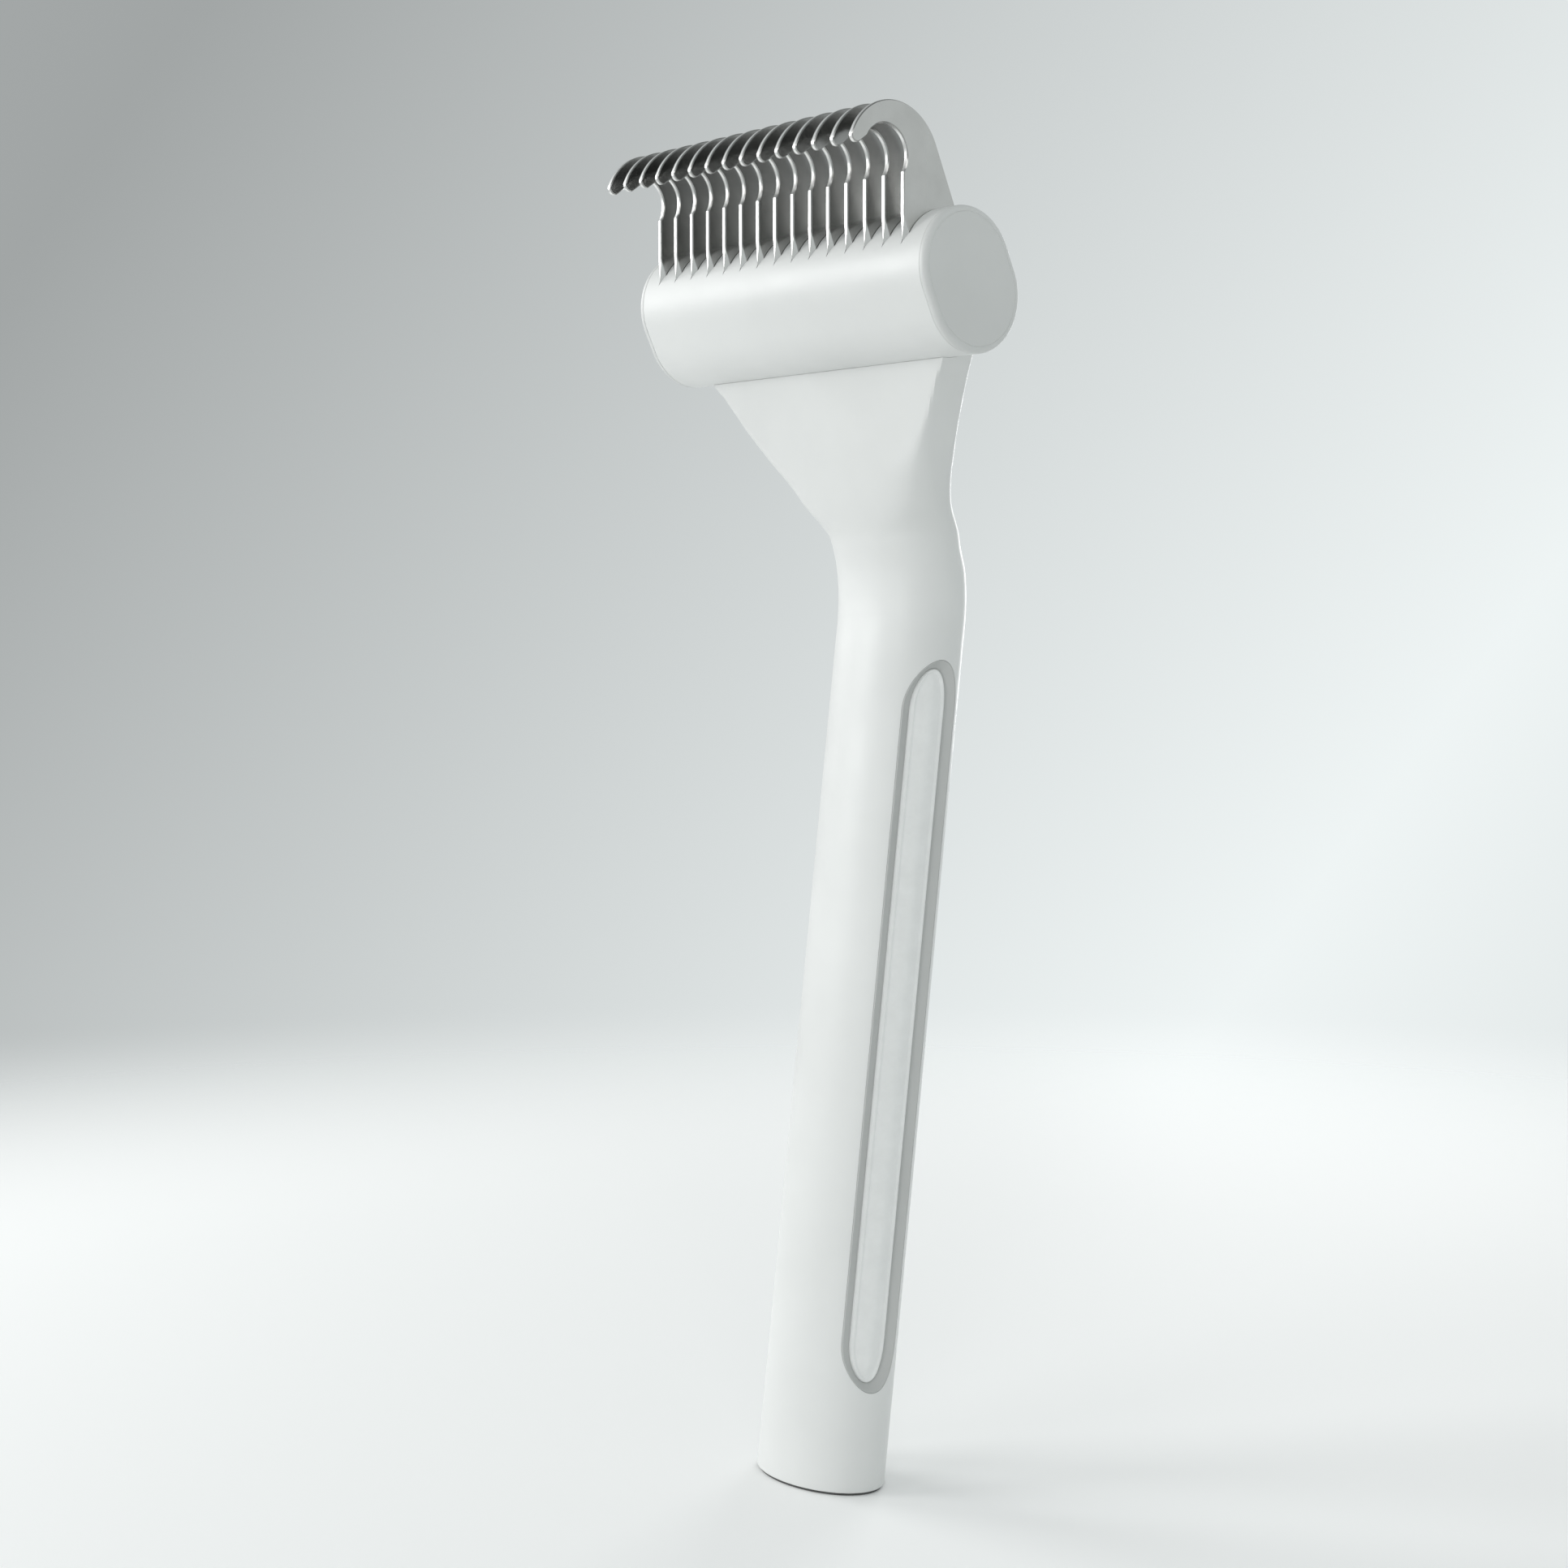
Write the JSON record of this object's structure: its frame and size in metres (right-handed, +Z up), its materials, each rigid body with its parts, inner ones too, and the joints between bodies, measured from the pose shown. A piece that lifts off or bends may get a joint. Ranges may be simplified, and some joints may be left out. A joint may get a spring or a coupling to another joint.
{
  "type": "dematting comb",
  "caption": "Upright dematting comb: an oval handle with grip panels fans out to a barrel head with a row of hooked steel blades.",
  "frame": {"origin": "middle of the foot's bottom face, on the surface that the comb stands on", "axes": "+Z up from the foot to the blade hooks, +X along the barrel head, -Y the side that the blade hooks point to"},
  "size_m": [0.0606, 0.0409, 0.1912],
  "materials": {
    "white_plastic": "satin white",
    "pad_grey": "soft matte light grey",
    "bezel_grey": "matte mid grey",
    "foot_rubber": "matte dark grey",
    "nylon": "natural",
    "blade_steel": "polished faces, ground edges",
    "fastener_steel": "plain"
  },
  "bodies": {
    "root": {"barrel_front_shell": "white_plastic", "barrel_rear_cover": "white_plastic", "blade_01": "blade_steel", "blade_02": "blade_steel", "blade_03": "blade_steel", "blade_04": "blade_steel", "blade_05": "blade_steel", "blade_06": "blade_steel", "blade_07": "blade_steel", "blade_08": "blade_steel", "blade_09": "blade_steel", "blade_10": "blade_steel", "blade_11": "blade_steel", "blade_12": "blade_steel", "blade_13": "blade_steel", "blade_14": "blade_steel", "blade_15": "blade_steel", "end_cap_left": "white_plastic", "end_cap_right": "white_plastic", "foot_pad": "foot_rubber", "foot_plug": "nylon", "grip_bezel_left": "bezel_grey", "grip_bezel_right": "bezel_grey", "grip_pad_left": "pad_grey", "grip_pad_right": "pad_grey", "handle_body": "white_plastic", "neck_screw_left": "fastener_steel", "neck_screw_right": "fastener_steel", "rod_nut_front_left": "fastener_steel", "rod_nut_front_right": "fastener_steel", "rod_nut_rear_left": "fastener_steel", "rod_nut_rear_right": "fastener_steel", "spacer_01": "nylon", "spacer_02": "nylon", "spacer_03": "nylon", "spacer_04": "nylon", "spacer_05": "nylon", "spacer_06": "nylon", "spacer_07": "nylon", "spacer_08": "nylon", "spacer_09": "nylon", "spacer_10": "nylon", "spacer_11": "nylon", "spacer_12": "nylon", "spacer_13": "nylon", "spacer_14": "nylon", "tie_rod_front": "fastener_steel", "tie_rod_rear": "fastener_steel"}
  },
  "joints": []
}
